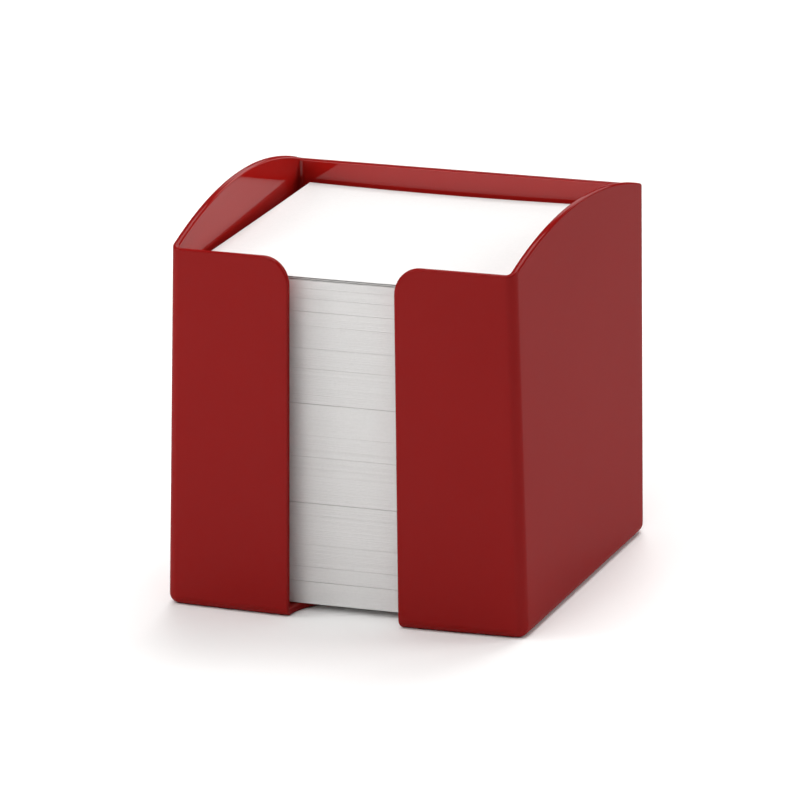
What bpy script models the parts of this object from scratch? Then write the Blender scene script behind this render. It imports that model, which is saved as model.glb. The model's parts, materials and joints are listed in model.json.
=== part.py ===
"""Memo cube holder: a one-piece moulded box with a finger slot, filled with loose square note sheets.

Metres, +Z up. The slot is at the front, -Y. The origin is under the middle of the box, on the table.
"""

import math

import bmesh
import bpy

# Paper
SHEET_SIDE = 0.090
SHEET_THICKNESS = 0.0001
STACK_HEIGHT = 0.0886
LOOSE_SHEETS = 3
PILE_GAP = 0.0003
PILE_STRAY = 0.0001
STACK_TO_THE_RIGHT = 0.0005

# Room for the paper inside the box
SIDE_ROOM = 0.0032
FRONT_ROOM = 0.0042
BACK_ROOM = 0.0022
HEAD_ROOM = 0.0064

# Box
WALL = 0.0018
SIDE_ARCH_RISE = 0.0077
UPRIGHT_CORNER_RADIUS = 0.0030
BASE_EDGE_RADIUS = 0.0028
RIM_RADIUS = 0.0006
BOX_WIDTH = SHEET_SIDE + 2 * (SIDE_ROOM + WALL)
BOX_DEPTH = SHEET_SIDE + FRONT_ROOM + BACK_ROOM + 2 * WALL
CORNER_HEIGHT = WALL + PILE_GAP + STACK_HEIGHT + HEAD_ROOM

# The slotted front does not hold the side walls apart, so the moulding has drawn in
# at the top of the front until only this much side room is left, and leans to the right there
DRAWN_IN_ROOM = 0.0004
FRONT_DRAW_IN = SIDE_ROOM - DRAWN_IN_ROOM
FRONT_TO_THE_RIGHT = 0.0005
# The front wall swells out towards the slot, hardly at its rim and more at its base
RIM_SWELL = 0.0002
BASE_SWELL = 0.0015

# Finger slot through the front wall, and the notch in which it ends in the base
SLOT_WIDTH = 0.0306
SLOT_CORNER_RADIUS = 0.0075
NOTCH_DEPTH = 0.0165
NOTCH_END_WIDTH = 0.0020

# Top of each pile of sheets as a share of the stack's height, where the stack shows a line
PILE_TOP_SHARES = (
    0.066, 0.112, 0.182, 0.275, 0.312, 0.419, 0.456, 0.523, 0.621,
    0.649, 0.730, 0.792, 0.861, 0.905, 0.945, 0.976, 1.0,
)
# Each pile turns its small stray from the one below by this share of a full turn
STRAY_TURN_SHARE = 0.382

# Fineness of the curves
SLOT_ARC_STEPS = 6
NOTCH_ARC_STEPS = 9
CORNER_ARC_STEPS = 6
BASE_ARC_STEPS = 5
ARCH_STEPS = 14
RIM_STEPS = 2
SMOOTH_ANGLE = math.radians(35)
RIM_ANGLE = math.radians(50)
QUARTER = math.pi / 2

# The shape is drawn with a straight front and its middle at y 0, then swollen and moved back
# by half of what the swell adds, so that the origin is in the middle of the finished box
SLOT_SHARE = SLOT_WIDTH / BOX_WIDTH
MOVE_BACK = BASE_SWELL * (1 - SLOT_SHARE**2) / 2
NOTCH_RADIUS = min((SLOT_WIDTH - NOTCH_END_WIDTH) / 2, NOTCH_DEPTH)


def clear_scene():
    for thing in list(bpy.data.objects):
        bpy.data.objects.remove(thing, do_unlink=True)


def principled(name, colour, roughness):
    material = bpy.data.materials.new(name)
    material.use_nodes = True
    shader = material.node_tree.nodes["Principled BSDF"]
    shader.inputs["Base Color"].default_value = (*colour, 1.0)
    shader.inputs["Roughness"].default_value = roughness
    shader.inputs["Metallic"].default_value = 0.0
    return material


def new_object(name, shape, material):
    mesh = bpy.data.meshes.new(name)
    shape.to_mesh(mesh)
    shape.free()
    mesh.materials.append(material)
    thing = bpy.data.objects.new(name, mesh)
    bpy.context.scene.collection.objects.link(thing)
    return thing


def side_top(y):
    """Height of a side wall's top edge: a circular arc from corner to corner."""
    half = BOX_DEPTH / 2
    arch_radius = (half**2 + SIDE_ARCH_RISE**2) / (2 * SIDE_ARCH_RISE)
    return CORNER_HEIGHT + SIDE_ARCH_RISE - arch_radius + math.sqrt(arch_radius**2 - y**2)


def steps(count):
    return [i / count for i in range(count + 1)]


def right_half_outline():
    """Stations along the right half of the wall, from the slot round to the middle of the back.

    Each is (x, y, top height, outward x, outward y).
    """
    slot_edge = SLOT_WIDTH / 2
    corner_x = BOX_WIDTH / 2 - UPRIGHT_CORNER_RADIUS
    front_y = -BOX_DEPTH / 2 + UPRIGHT_CORNER_RADIUS
    back_y = BOX_DEPTH / 2 - UPRIGHT_CORNER_RADIUS
    outline = []
    for share in steps(SLOT_ARC_STEPS):
        turn = share * QUARTER
        x = slot_edge + SLOT_CORNER_RADIUS * (1 - math.cos(turn))
        drop = SLOT_CORNER_RADIUS * (1 - math.sin(turn))
        outline.append((x, -BOX_DEPTH / 2, CORNER_HEIGHT - drop, 0, -1))
    for share in steps(CORNER_ARC_STEPS):
        out_x, out_y = math.sin(share * QUARTER), -math.cos(share * QUARTER)
        x = corner_x + UPRIGHT_CORNER_RADIUS * out_x
        y = front_y + UPRIGHT_CORNER_RADIUS * out_y
        outline.append((x, y, side_top(y), out_x, out_y))
    for share in steps(ARCH_STEPS)[1:-1]:
        y = front_y + share * (back_y - front_y)
        outline.append((BOX_WIDTH / 2, y, side_top(y), 1, 0))
    for share in steps(CORNER_ARC_STEPS):
        out_x, out_y = math.cos(share * QUARTER), math.sin(share * QUARTER)
        x = corner_x + UPRIGHT_CORNER_RADIUS * out_x
        y = back_y + UPRIGHT_CORNER_RADIUS * out_y
        outline.append((x, y, side_top(y), out_x, out_y))
    outline.append((0, BOX_DEPTH / 2, CORNER_HEIGHT, 0, 1))
    return outline


def notch_edge(depth):
    """Half width of the notch at a depth behind the front face."""
    along = depth - (NOTCH_DEPTH - NOTCH_RADIUS)
    if along <= 0:
        return SLOT_WIDTH / 2
    inset = NOTCH_RADIUS - math.sqrt(max(NOTCH_RADIUS**2 - along**2, 0))
    return SLOT_WIDTH / 2 - inset


def as_it_stands(x, y, z):
    """A drawn point moved to where the finished moulding has it.

    The side walls lean in and to the right towards the top of the front, and stand upright
    at the back. The front swells out, least at its corners and its rim.
    """
    up_share = z / CORNER_HEIGHT
    front_share = 1 / 2 - y / BOX_DEPTH
    narrowing = FRONT_DRAW_IN / (BOX_WIDTH / 2) * up_share * front_share
    swell = BASE_SWELL + (RIM_SWELL - BASE_SWELL) * up_share
    swell *= front_share * max(1 - (2 * x / BOX_WIDTH) ** 2, 0)
    stands_x = x * (1 - narrowing) + FRONT_TO_THE_RIGHT * up_share * front_share
    return (stands_x, y + MOVE_BACK - swell, z)


def wall_column(station, at_slot):
    """Drawn points down the outer face at one station, then round the base edge to the underside."""
    x, y, top, out_x, out_y = station
    column = [(x, y, top)]
    for share in steps(BASE_ARC_STEPS):
        turn = share * QUARTER
        inward = BASE_EDGE_RADIUS * (1 - math.cos(turn))
        height = BASE_EDGE_RADIUS * (1 - math.sin(turn))
        edge_x = notch_edge(inward) if at_slot else x - out_x * inward
        column.append((edge_x, y - out_y * inward, height))
    return column


def notch_outline():
    """Drawn right half of the notch's edge on the underside, from the base edge to the middle."""
    centre_x = SLOT_WIDTH / 2 - NOTCH_RADIUS
    centre_y = -BOX_DEPTH / 2 + NOTCH_DEPTH - NOTCH_RADIUS
    start = math.asin(max(BASE_EDGE_RADIUS - NOTCH_DEPTH + NOTCH_RADIUS, 0) / NOTCH_RADIUS)
    points = []
    for share in steps(NOTCH_ARC_STEPS)[1:]:
        turn = start + share * (QUARTER - start)
        x = centre_x + NOTCH_RADIUS * math.cos(turn)
        y = centre_y + NOTCH_RADIUS * math.sin(turn)
        points.append((x, y, 0))
    return points


def mirrored(points):
    return [(-x, y, z) for x, y, z in points]


def box_skin():
    """Outer face of the box as one open sheet: walls, base edge and underside."""
    right = right_half_outline()
    columns = [wall_column(station, i == 0) for i, station in enumerate(right)]
    left = [mirrored(column) for column in reversed(columns[:-1])]
    skin = bmesh.new()
    grid = [[skin.verts.new(as_it_stands(*point)) for point in column] for column in columns + left]
    for here, after in zip(grid, grid[1:]):
        for row in range(len(here) - 1):
            skin.faces.new((here[row], here[row + 1], after[row + 1], after[row]))
    notch = notch_outline()
    underside = [column[-1] for column in grid]
    notch_round = mirrored(notch) + notch[::-1]
    underside += [skin.verts.new(as_it_stands(*point)) for point in notch_round]
    skin.faces.new(underside[::-1])
    return skin


def holder_box():
    red = principled("red_polystyrene", (0.30, 0.018, 0.017), 0.16)
    box = new_object("holder_box", box_skin(), red)
    wall = box.modifiers.new("wall", "SOLIDIFY")
    wall.thickness = WALL
    wall.offset = -1
    wall.use_even_offset = True
    rim = box.modifiers.new("rounded_rim", "BEVEL")
    rim.width = RIM_RADIUS
    rim.segments = RIM_STEPS
    rim.limit_method = "ANGLE"
    rim.angle_limit = RIM_ANGLE
    box.data.shade_smooth()
    box.data.set_sharp_from_angle(angle=SMOOTH_ANGLE)
    return box


def paper_block(name, low, high, number, material):
    """A square block of sheets from low to high, strayed a little from the middle of the stack."""
    turn = number * STRAY_TURN_SHARE * 2 * math.pi
    middle_y = MOVE_BACK + BOX_DEPTH / 2 - WALL - BACK_ROOM - SHEET_SIDE / 2
    shape = bmesh.new()
    bmesh.ops.create_cube(shape, size=1)
    bmesh.ops.scale(shape, vec=(SHEET_SIDE, SHEET_SIDE, high - low), verts=shape.verts)
    block = new_object(name, shape, material)
    block.location = (
        STACK_TO_THE_RIGHT + PILE_STRAY * math.cos(turn),
        middle_y + PILE_STRAY * math.sin(turn),
        (low + high) / 2,
    )
    return block


def paper_stack():
    """Piles of sheets one on another, then single loose sheets on the last pile."""
    paper = principled("white_paper", (0.86, 0.86, 0.85), 0.85)
    floor = WALL + PILE_GAP
    piles_height = STACK_HEIGHT - LOOSE_SHEETS * (SHEET_THICKNESS + PILE_GAP)
    low = floor
    for number, share in enumerate(PILE_TOP_SHARES, start=1):
        high = floor + share * piles_height
        paper_block(f"paper_pile_{number:02d}", low, high, number, paper)
        low = high + PILE_GAP
    for number in range(1, LOOSE_SHEETS + 1):
        high = low + SHEET_THICKNESS
        paper_block(f"loose_sheet_{number}", low, high, len(PILE_TOP_SHARES) + number, paper)
        low = high + PILE_GAP


clear_scene()
holder_box()
paper_stack()
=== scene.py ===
"""Looks of the memo cube holder: a glossy red moulded box, filled with loose white note sheets.

Metres, +Z up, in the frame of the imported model. The finger slot is at the front, -Y.
"""

import json
import math
import random

import bmesh
import bpy
from mathutils import Matrix, Vector


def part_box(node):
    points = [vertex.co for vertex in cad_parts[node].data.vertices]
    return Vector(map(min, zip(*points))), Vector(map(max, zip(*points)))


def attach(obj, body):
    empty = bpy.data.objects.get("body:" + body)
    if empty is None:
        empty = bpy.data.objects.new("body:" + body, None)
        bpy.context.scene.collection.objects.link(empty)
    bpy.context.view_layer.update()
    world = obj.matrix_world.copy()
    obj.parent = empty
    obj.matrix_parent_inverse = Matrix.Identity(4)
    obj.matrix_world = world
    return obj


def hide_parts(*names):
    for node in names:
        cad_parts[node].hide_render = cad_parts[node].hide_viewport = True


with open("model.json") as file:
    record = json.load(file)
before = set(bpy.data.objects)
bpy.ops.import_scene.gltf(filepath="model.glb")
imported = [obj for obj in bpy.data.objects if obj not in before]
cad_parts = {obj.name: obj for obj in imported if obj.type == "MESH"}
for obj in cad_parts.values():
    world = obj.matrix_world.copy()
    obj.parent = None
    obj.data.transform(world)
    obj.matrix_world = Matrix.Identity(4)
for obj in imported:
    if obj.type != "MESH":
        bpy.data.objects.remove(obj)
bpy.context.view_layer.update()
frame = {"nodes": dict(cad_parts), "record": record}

# Camera
# A long lens on a stand about 1.8 m from the box, a little above it and to its right,
# as product pictures are taken; the camera was tipped by less than a degree.
CAMERA_PLACE = Vector((0.58995, -1.60264, 0.54602))
CAMERA_TURN = math.radians(20.270)
CAMERA_DOWN = math.radians(16.301)
CAMERA_TIP = math.radians(-0.770)
LENS_MM = 301.80
SENSOR_MM = 36.0
NEAREST_SEEN = 0.05
FARTHEST_SEEN = 20.0
RIGHT_ANGLE = math.pi / 2

bpy.ops.object.select_all(action="DESELECT")
bpy.ops.object.camera_add(location=CAMERA_PLACE)
camera = bpy.context.object
camera.matrix_world = (
    Matrix.Translation(CAMERA_PLACE)
    @ Matrix.Rotation(CAMERA_TURN, 4, "Z")
    @ Matrix.Rotation(RIGHT_ANGLE - CAMERA_DOWN, 4, "X")
    @ Matrix.Rotation(CAMERA_TIP, 4, "Z")
)
camera.data.sensor_width = SENSOR_MM
camera.data.lens = LENS_MM
camera.data.clip_start = NEAREST_SEEN
camera.data.clip_end = FARTHEST_SEEN
bpy.context.scene.camera = camera


# Floor
# A roll of matt white background paper that runs on past the picture on every side.
# It lies just under the box, and has only a trace of tooth in its surface.
FLOOR_SIDE = 12.0
FLOOR_WHITE = "#FBFBFA"
TOOTH_PER_METRE = 900.0
TOOTH_DEPTH = 0.0001


def linear(hex_colour):
    """An sRGB hex colour as the linear values that a shader takes."""
    values = [int(hex_colour[i:i + 2], 16) / 255 for i in (1, 3, 5)]
    lit = [v / 12.92 if v <= 0.04045 else ((v + 0.055) / 1.055) ** 2.4 for v in values]
    return (*lit, 1.0)


def new_material(name):
    """A material with only its Principled shader, as (material, node tree, shader)."""
    material = bpy.data.materials.new(name)
    material.use_nodes = True
    tree = material.node_tree
    return material, tree, tree.nodes["Principled BSDF"]


def add_node(tree, kind, settings=None, inputs=None, links=None):
    """Adds a node, gives it its settings and input values, and links other nodes' outputs in."""
    node = tree.nodes.new(kind)
    for name, value in (settings or {}).items():
        setattr(node, name, value)
    for name, value in (inputs or {}).items():
        node.inputs[name].default_value = value
    for name, output in (links or {}).items():
        tree.links.new(output, node.inputs[name])
    return node


floor_paper, tree, shader = new_material("matt_background_paper")
place = add_node(tree, "ShaderNodeTexCoord").outputs["Object"]
tooth = add_node(
    tree, "ShaderNodeTexNoise", inputs={"Scale": TOOTH_PER_METRE, "Detail": 2.0},
    links={"Vector": place},
)
tooth_bump = add_node(
    tree, "ShaderNodeBump", inputs={"Strength": 0.05, "Distance": TOOTH_DEPTH},
    links={"Height": tooth.outputs["Fac"]},
)
shader.inputs["Base Color"].default_value = linear(FLOOR_WHITE)
shader.inputs["Roughness"].default_value = 0.9
shader.inputs["Specular IOR Level"].default_value = 0.1
tree.links.new(tooth_bump.outputs["Normal"], shader.inputs["Normal"])

bpy.ops.mesh.primitive_plane_add(size=FLOOR_SIDE)
floor = bpy.context.object
floor.name = "background_paper"
floor.data.materials.append(floor_paper)


# Studio light
# A main soft light in front of the table and above it, two small ones near by at the left,
# soft lights behind the right and over the table, and a low panel behind it for the rims.
def soft_light(name, place, aim, width, height, radiance):
    """A flat lamp of one brightness that faces its aim. Its power follows from its size."""
    bpy.ops.object.light_add(type="AREA", location=place)
    lamp = bpy.context.object
    lamp.name = name
    lamp.data.shape = "RECTANGLE"
    lamp.data.size = width
    lamp.data.size_y = height
    lamp.data.energy = radiance * math.pi * width * height
    lamp.rotation_euler = (Vector(aim) - Vector(place)).to_track_quat("-Z", "Y").to_euler()
    return lamp


MIDDLE = (0.0, 0.0, 0.05)
ROOM_GLOW = 0.02
soft_light("front_light", (0.0, -2.475, 2.525), MIDDLE, 1.6, 1.6, 3.4)
soft_light("right_back_light", (2.747, 1.586, 1.529), MIDDLE, 1.6, 1.6, 5.6)
soft_light("low_back_panel", (0.0, 3.571, 1.350), MIDDLE, 3.0, 1.0, 3.15)
soft_light("high_back_light", (0.0, 2.180, 3.163), MIDDLE, 2.5, 2.0, 5.4)
soft_light("top_light", (0.0, 0.0, 3.6), MIDDLE, 2.6, 2.6, 2.3)
soft_light("near_left_light", (-0.390, -0.225, 0.365), MIDDLE, 0.25, 0.25, 4.6)
soft_light("near_front_light", (-0.190, -0.479, 0.320), MIDDLE, 0.25, 0.25, 2.6)

world = bpy.data.worlds.new("dim_studio")
bpy.context.scene.world = world
world.use_nodes = True
world.node_tree.nodes["Background"].inputs["Color"].default_value = (1.0, 1.0, 1.0, 1.0)
world.node_tree.nodes["Background"].inputs["Strength"].default_value = ROOM_GLOW
bpy.context.scene.view_settings.view_transform = "Standard"


# Holder box
# One thin-walled box of glossy red polystyrene, moulded in one shot: a base, two level
# front panels beside a finger slot, a level back and side walls that rise in an arch.
# The slotted front does not hold the walls apart: they lean in at its top, and it swells.
holder_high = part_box("holder_box")[1]
BOX_SIDE = 0.1000
MOVE_BACK = holder_high.y - BOX_SIDE / 2
ARCH_RISE = 0.0077
CORNER_HEIGHT = holder_high.z - ARCH_RISE
WALL = 0.0018
UPRIGHT_CORNER_RADIUS = 0.0030
BASE_EDGE_RADIUS = 0.0028
SLOT_WIDTH = 0.0306
PANEL_CORNER_RADIUS = 0.0075
NOTCH_DEPTH = 0.0165
NOTCH_RADIUS = 0.0143
FRONT_LEAN = 0.0028
FRONT_TO_THE_RIGHT = 0.0005
RIM_SWELL = 0.0002
BASE_SWELL = 0.0015
RIM_RADIUS = 0.0006
CORNER_STEPS = 8
ARC_STEPS = 12
NOTCH_STEPS = 24
ARCH_STEPS = 28
PANEL_STEPS = 6
RIM_STEPS = 4
FLAT_ANGLE = 0.01
SMOOTH_ANGLE = math.radians(35)
RIM_ANGLE = math.radians(50)
FLAT_FACE_WEIGHT = 80
TINY = 0.00001
FRONT = -BOX_SIDE / 2
SLOT_EDGE = SLOT_WIDTH / 2
NOTCH_BACK = FRONT + NOTCH_DEPTH


def pick(kind, rule):
    """In edit mode, selects only the verts, edges or faces that the rule picks."""
    mesh = bpy.context.edit_object.data
    bpy.ops.mesh.select_mode(type={"verts": "VERT", "edges": "EDGE", "faces": "FACE"}[kind])
    bpy.ops.mesh.select_all(action="DESELECT")
    for part in getattr(bmesh.from_edit_mesh(mesh), kind):
        if rule(part):
            part.select_set(True)
    bmesh.update_edit_mesh(mesh)


def middle(part):
    """The mean of an edge's or a face's corners."""
    return sum((v.co for v in part.verts), Vector()) / len(part.verts)


def cut_across(point, normal):
    """Cuts all that is selected along a plane, and keeps both sides."""
    bpy.ops.mesh.bisect(plane_co=point, plane_no=normal)


def in_notch(point):
    return abs(point.x) < SLOT_EDGE + TINY and point.y < NOTCH_BACK + TINY


def side_top(y):
    """Height of a side wall's top edge, an arc from corner to corner."""
    half = BOX_SIDE / 2
    arch_radius = (half**2 + ARCH_RISE**2) / (2 * ARCH_RISE)
    return CORNER_HEIGHT + ARCH_RISE - arch_radius + math.sqrt(max(arch_radius**2 - y**2, 0))


# The base: a square with rounded corners, and a notch where the slot ends
bpy.ops.mesh.primitive_plane_add(size=BOX_SIDE)
box = bpy.context.object
box.name = "moulded_box"
bpy.ops.object.mode_set(mode="EDIT")
for point, normal in (
    ((SLOT_EDGE, 0, 0), (1, 0, 0)),
    ((-SLOT_EDGE, 0, 0), (1, 0, 0)),
    ((0, NOTCH_BACK, 0), (0, 1, 0)),
):
    bpy.ops.mesh.select_all(action="SELECT")
    cut_across(point, normal)
pick("faces", lambda f: in_notch(middle(f)))
bpy.ops.mesh.delete(type="FACE")
bpy.ops.mesh.select_all(action="SELECT")
bpy.ops.mesh.dissolve_limited(angle_limit=FLAT_ANGLE)
pick("verts", lambda v: min(abs(v.co.x), abs(v.co.y)) > BOX_SIDE / 2 - TINY)
bpy.ops.mesh.bevel(affect="VERTICES", offset=UPRIGHT_CORNER_RADIUS, segments=CORNER_STEPS)

# The walls rise from the base's outline, but not from the notch, which leaves the slot open
pick("edges", lambda e: not in_notch(middle(e)))
bpy.ops.mesh.extrude_edges_move(TRANSFORM_OT_translate={"value": (0, 0, CORNER_HEIGHT)})
pick("edges", lambda e: len(e.link_faces) == 2 and all(v.co.z < TINY for v in e.verts))
bpy.ops.mesh.bevel(
    affect="EDGES", offset=BASE_EDGE_RADIUS, segments=CORNER_STEPS, clamp_overlap=False
)

# The notch has a round end, which starts within the base edge
for side in (1, -1):
    pick(
        "edges",
        lambda e: abs(side * middle(e).x - SLOT_EDGE) < TINY
        and in_notch(middle(e))
        and all(v.co.z < TINY for v in e.verts),
    )
    bpy.ops.mesh.subdivide(number_cuts=NOTCH_STEPS - 1)
arc_x = SLOT_EDGE - NOTCH_RADIUS
arc_y = NOTCH_BACK - NOTCH_RADIUS
arc_start = math.asin((FRONT + BASE_EDGE_RADIUS - arc_y) / NOTCH_RADIUS)
for vert in bmesh.from_edit_mesh(box.data).verts:
    on_notch = abs(abs(vert.co.x) - SLOT_EDGE) < TINY and in_notch(vert.co)
    if not on_notch or vert.co.z > BASE_EDGE_RADIUS - TINY:
        continue
    if vert.co.z > TINY:
        turn = math.asin(max((vert.co.y - arc_y) / NOTCH_RADIUS, 0))
    else:
        share = (vert.co.y - FRONT - BASE_EDGE_RADIUS) / (NOTCH_DEPTH - BASE_EDGE_RADIUS)
        turn = arc_start + share * (RIGHT_ANGLE - arc_start)
        vert.co.y = arc_y + NOTCH_RADIUS * math.sin(turn)
    vert.co.x = math.copysign(arc_x + NOTCH_RADIUS * math.cos(turn), vert.co.x)
bmesh.update_edit_mesh(box.data)

# The panels' top corners are round
pick("verts", lambda v: abs(abs(v.co.x) - SLOT_EDGE) < TINY and v.co.z > CORNER_HEIGHT - TINY)
bpy.ops.mesh.bevel(affect="VERTICES", offset=PANEL_CORNER_RADIUS, segments=ARC_STEPS)

# Cuts down the side walls, whose top is then lifted to the arch, and down the panels
flat_half = BOX_SIDE / 2 - UPRIGHT_CORNER_RADIUS
for i in range(1, ARCH_STEPS):
    pick("faces", lambda f: abs(middle(f).x) > flat_half - TINY and middle(f).z > TINY)
    cut_across((0, flat_half * (2 * i / ARCH_STEPS - 1), 0), (0, 1, 0))
panel_start = SLOT_EDGE + PANEL_CORNER_RADIUS
for i in range(1, PANEL_STEPS):
    for side in (1, -1):
        pick("faces", lambda f: middle(f).y < -flat_half and middle(f).z > TINY)
        x = side * (panel_start + (flat_half - panel_start) * i / PANEL_STEPS)
        cut_across((x, 0, 0), (1, 0, 0))
bpy.ops.mesh.select_all(action="SELECT")
bpy.ops.mesh.normals_make_consistent(inside=False)

# The operators list a mesh's parts in an order that changes from run to run, so the parts
# are put in the order of their places, up the box first
PLACE_STEP = 0.00001
PLACES_PER_AXIS = 10**5
shape = bmesh.from_edit_mesh(box.data)


def place_in_order(part):
    """A number that grows with a part's height, then its depth, then its place across."""
    spot = part.co if isinstance(part, bmesh.types.BMVert) else middle(part)
    x, y, z = (round(value / PLACE_STEP) for value in spot)
    return float((z * PLACES_PER_AXIS + y) * PLACES_PER_AXIS + x)


for parts in (shape.verts, shape.edges, shape.faces):
    parts.sort(key=place_in_order)
bmesh.update_edit_mesh(box.data)
bpy.ops.object.mode_set(mode="OBJECT")

# The arch of the side walls, their lean and the swelling front, as the cooled moulding stands
for vert in box.data.vertices:
    x, y, z = vert.co
    if abs(x) > flat_half - TINY and z > CORNER_HEIGHT - TINY:
        z = side_top(y)
    up_share = z / CORNER_HEIGHT
    front_share = 0.5 - y / BOX_SIDE
    narrowing = 2 * FRONT_LEAN / BOX_SIDE * up_share * front_share
    sideways = FRONT_TO_THE_RIGHT * up_share * front_share
    swell = (BASE_SWELL + (RIM_SWELL - BASE_SWELL) * up_share) * front_share
    swell *= max(1 - (2 * x / BOX_SIDE) ** 2, 0)
    vert.co = (x * (1 - narrowing) + sideways, y + MOVE_BACK - swell, z)


def finish_with(thing, kind, **settings):
    """Adds a modifier with its settings and applies it."""
    bpy.context.view_layer.objects.active = thing
    modifier = thing.modifiers.new(kind.lower(), kind)
    for name, value in settings.items():
        setattr(modifier, name, value)
    bpy.ops.object.modifier_apply(modifier=modifier.name)


# Moulded polystyrene: the colour is in the plastic, with very faint flow clouds. The polished
# mould leaves a mirror-like skin, whose shine is a clear layer; long soft waves bend what it
# mirrors. It is one plastic, but the inside gets a lighter red, which is painted light, and more
# shine than the outside, which is a painted reflection strength; its sides get less shine than
# its front and back, a painted dimming of their reflections by the way they face. These are
# matched to the picture by measure, and the low outer shine is below what the real plastic
# would have.
FLOW_CLOUD_MM = 35.0
SINK_WAVE_MM = 45.0
SINK_WAVE_DEPTH = 0.0002
SKIN_GRAIN_MM = 1.2
SKIN_GRAIN_DEPTH = 0.00005


def moulded_red(name, red_hex, cloud_hex, shine, painted_side_shine):
    """Glossy red polystyrene: its red, its cloudier red, and the shares of a full shine that
    its front and back show, and its sides. The sides' smaller share is a painted dimming of
    reflection by the way a face turns.
    """
    material, tree, shader = new_material(name)
    texture_place = add_node(tree, "ShaderNodeTexCoord")
    place = texture_place.outputs["Object"]
    clouds = add_node(
        tree, "ShaderNodeTexNoise", inputs={"Scale": 1000 / FLOW_CLOUD_MM, "Detail": 3.0},
        links={"Vector": place},
    )
    red = add_node(
        tree, "ShaderNodeMix", {"data_type": "RGBA"},
        {"A": linear(red_hex), "B": linear(cloud_hex)},
        {"Factor": clouds.outputs["Fac"]},
    )
    waves = add_node(
        tree, "ShaderNodeTexNoise", inputs={"Scale": 1000 / SINK_WAVE_MM, "Detail": 0.0},
        links={"Vector": place},
    )
    grain = add_node(
        tree, "ShaderNodeTexNoise", inputs={"Scale": 1000 / SKIN_GRAIN_MM, "Detail": 2.0},
        links={"Vector": place},
    )
    wave_bump = add_node(
        tree, "ShaderNodeBump", inputs={"Strength": 0.3, "Distance": SINK_WAVE_DEPTH},
        links={"Height": waves.outputs["Fac"]},
    )
    grain_bump = add_node(
        tree, "ShaderNodeBump", inputs={"Strength": 0.02, "Distance": SKIN_GRAIN_DEPTH},
        links={"Height": grain.outputs["Fac"], "Normal": wave_bump.outputs["Normal"]},
    )
    roughness = add_node(
        tree, "ShaderNodeMapRange", inputs={"To Min": 0.30, "To Max": 0.38},
        links={"Value": clouds.outputs["Fac"]},
    )
    facing = add_node(
        tree, "ShaderNodeSeparateXYZ", links={"Vector": texture_place.outputs["Normal"]},
    )
    sideways_share = add_node(
        tree, "ShaderNodeMath", {"operation": "MULTIPLY"},
        links={0: facing.outputs["X"], 1: facing.outputs["X"]},
    )
    facing_painted_shine = add_node(
        tree, "ShaderNodeMapRange", inputs={"To Min": shine, "To Max": painted_side_shine},
        links={"Value": sideways_share.outputs["Value"]},
    )
    # The coat weight follows the way a face turns: a painted reflection strength, weaker on the
    # sides than on the front and back.
    tree.links.new(facing_painted_shine.outputs["Result"], shader.inputs["Coat Weight"])
    tree.links.new(red.outputs["Result"], shader.inputs["Base Color"])
    tree.links.new(roughness.outputs["Result"], shader.inputs["Roughness"])
    tree.links.new(grain_bump.outputs["Normal"], shader.inputs["Normal"])
    tree.links.new(grain_bump.outputs["Normal"], shader.inputs["Coat Normal"])
    shader.inputs["Specular IOR Level"].default_value = 0.0
    shader.inputs["Coat Roughness"].default_value = 0.05
    shader.inputs["Coat IOR"].default_value = 1.5
    return material


OUTER_SHINES = (0.16, 0.15)
INNER_PAINTED_SHINES = (1.00, 0.50)
box.data.materials.append(
    moulded_red("red_polystyrene_outside", "#881514", "#831312", *OUTER_SHINES)
)
# The inside is the same plastic: its lighter red is painted light, and its stronger shine is a
# painted reflection.
box.data.materials.append(
    moulded_red("red_polystyrene_inside_painted_lighter", "#A81A16", "#A21814", *INNER_PAINTED_SHINES)
)

# The wall's thickness goes inwards; the rim's edges are rounded, as the mould leaves them
finish_with(
    box, "SOLIDIFY", thickness=WALL, offset=-1.0, use_even_offset=True, material_offset=1,
)
finish_with(
    box, "BEVEL", width=RIM_RADIUS, segments=RIM_STEPS,
    limit_method="ANGLE", angle_limit=RIM_ANGLE, use_clamp_overlap=False,
)
bpy.ops.object.shade_smooth_by_angle(angle=SMOOTH_ANGLE)
finish_with(box, "WEIGHTED_NORMAL", keep_sharp=True, weight=FLAT_FACE_WEIGHT)

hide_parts("holder_box")
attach(box, "holder")


# Note sheets
# Square loose sheets of plain white note paper, cut in one stroke of a guillotine and
# dropped in: about 800 in piles, and three more on top whose back corners curl up a little.
pile_names = sorted(name for name in frame["nodes"] if name.startswith("paper_pile"))
loose_names = sorted(name for name in frame["nodes"] if name.startswith("loose_sheet"))
pile_low, pile_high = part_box(pile_names[0])
SHEET_SIDE = pile_high.x - pile_low.x
pile_middles = [sum(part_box(name), Vector()) / 2 for name in pile_names]
SHEET_MIDDLE = sum(pile_middles, Vector()) / len(pile_names)
SHEET_THICKNESS = 0.0001
SHEET_PITCH = 0.000106
SHEET_STRAY = 0.00003
PILE_STRAY = 0.00010
LINE_GAP = 0.00005
CLEAR_LINE_GAP = 0.00009
CLEAR_LINES_ABOVE = ("paper_pile_01", "paper_pile_05", "paper_pile_09")
PILE_TURN_DEGREES = 0.06
SHEET_TURN_DEGREES = 0.02
CORNER_CURL = 0.0002
CURL_CUTS = 15
dice = random.Random(7)


def body_of_node(name):
    """The moving body that a node belongs to."""
    for body, names in frame["record"]["behaviour"]["bodies"].items():
        if name in names:
            return body


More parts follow.
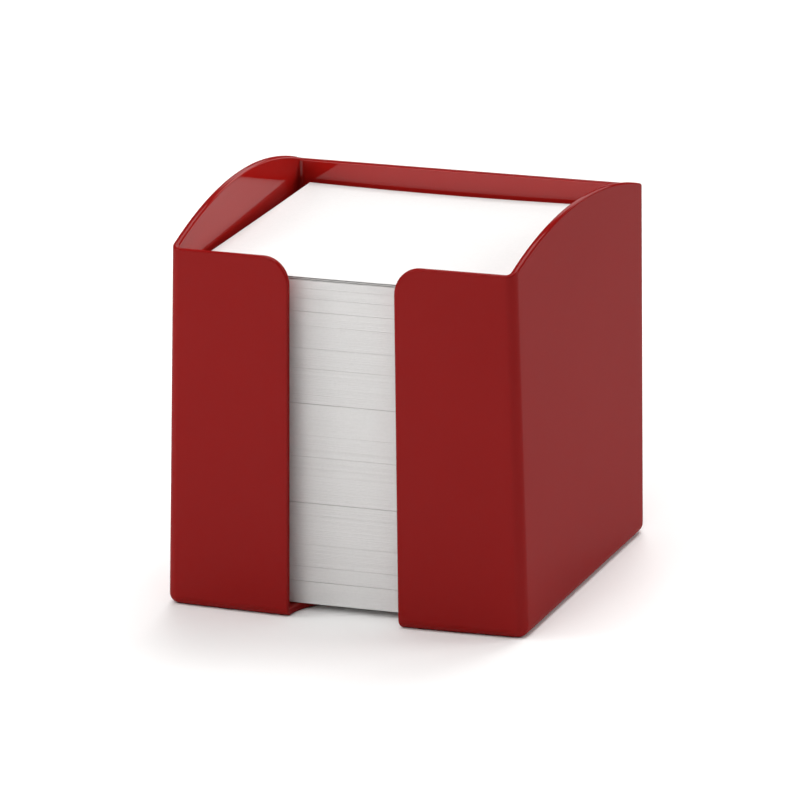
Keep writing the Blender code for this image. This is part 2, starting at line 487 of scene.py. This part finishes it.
NOTE_WHITE = "#E6E5E4"
NOTE_SHADE = "#DEDDDC"
FIBRE_MM = 0.8
FIBRE_DEPTH = 0.00002
note_paper, tree, shader = new_material("uncoated_note_paper")
place = add_node(tree, "ShaderNodeTexCoord").outputs["Object"]
fibres = add_node(
    tree, "ShaderNodeTexNoise", inputs={"Scale": 1000 / FIBRE_MM, "Detail": 4.0},
    links={"Vector": place},
)
white = add_node(
    tree, "ShaderNodeMix", {"data_type": "RGBA"},
    {"A": linear(NOTE_WHITE), "B": linear(NOTE_SHADE)},
    {"Factor": fibres.outputs["Fac"]},
)
fibre_bump = add_node(
    tree, "ShaderNodeBump", inputs={"Strength": 0.1, "Distance": FIBRE_DEPTH},
    links={"Height": fibres.outputs["Fac"]},
)
tree.links.new(white.outputs["Result"], shader.inputs["Base Color"])
tree.links.new(fibre_bump.outputs["Normal"], shader.inputs["Normal"])
shader.inputs["Roughness"].default_value = 0.85
shader.inputs["Specular IOR Level"].default_value = 0.2

# Each pile fills its own height up to the pile above, less the thin line between the two
piles = {}
stack_names = pile_names + loose_names
for name, above in zip(stack_names, stack_names[1:] + [None]):
    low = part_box(name)[0].z
    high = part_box(above)[0].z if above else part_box(name)[1].z
    if above:
        high -= CLEAR_LINE_GAP if name in CLEAR_LINES_ABOVE else LINE_GAP
    count = 1 if name in loose_names else round((high - low) / SHEET_PITCH)
    pitch = (high - low) / count
    pile_x = dice.uniform(-PILE_STRAY, PILE_STRAY)
    pile_y = dice.uniform(-PILE_STRAY, PILE_STRAY)
    pile_turn = dice.uniform(-PILE_TURN_DEGREES, PILE_TURN_DEGREES)
    piles[name] = [
        (
            low + i * pitch,
            pile_x + dice.uniform(-SHEET_STRAY, SHEET_STRAY),
            pile_y + dice.uniform(-SHEET_STRAY, SHEET_STRAY),
            math.radians(
                pile_turn + dice.uniform(-SHEET_TURN_DEGREES, SHEET_TURN_DEGREES)
            ),
        )
        for i in range(count)
    ]



def corner_lift(point):
    """How far the curl lifts a point of the lowest loose sheet: most at the back corners."""
    back_share = point.y / SHEET_SIDE + 0.5
    return CORNER_CURL * (2 * point.x / SHEET_SIDE) ** 2 * back_share**2


# One flat sheet is the pattern of those in the piles. The loose sheets are cut finer, and
# each curls up one lift more than the one below.
bpy.ops.mesh.primitive_cube_add(size=1)
flat_sheet = bpy.context.object
flat_sheet.data.transform(Matrix.Diagonal((SHEET_SIDE, SHEET_SIDE, SHEET_THICKNESS, 1)))
bpy.ops.mesh.primitive_grid_add(
    x_subdivisions=CURL_CUTS, y_subdivisions=CURL_CUTS, size=SHEET_SIDE
)
curled_sheet = bpy.context.object
for vert in curled_sheet.data.vertices:
    vert.co.z = corner_lift(vert.co)
finish_with(curled_sheet, "SOLIDIFY", thickness=SHEET_THICKNESS, offset=0.0)
for name, sheets in piles.items():
    is_loose = name in loose_names
    pattern = curled_sheet if is_loose else flat_sheet
    further_lifts = loose_names.index(name) if is_loose else 0
    pile_mesh = bmesh.new()
    for low, stray_x, stray_y, turn in sheets:
        one = pattern.data.copy()
        for vert in one.vertices:
            vert.co.z += further_lifts * corner_lift(vert.co)
        one.transform(
            Matrix.Translation(
                (SHEET_MIDDLE.x + stray_x, SHEET_MIDDLE.y + stray_y, low + SHEET_THICKNESS / 2)
            )
            @ Matrix.Rotation(turn, 4, "Z")
        )
        pile_mesh.from_mesh(one)
        bpy.data.meshes.remove(one)
    mesh = bpy.data.meshes.new(f"{name}_sheets")
    pile_mesh.to_mesh(mesh)
    pile_mesh.free()
    mesh.materials.append(note_paper)
    pile = bpy.data.objects.new(f"{name}_sheets", mesh)
    bpy.context.scene.collection.objects.link(pile)
    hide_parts(name)
    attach(pile, body_of_node(name))
bpy.data.objects.remove(flat_sheet)
bpy.data.objects.remove(curled_sheet)
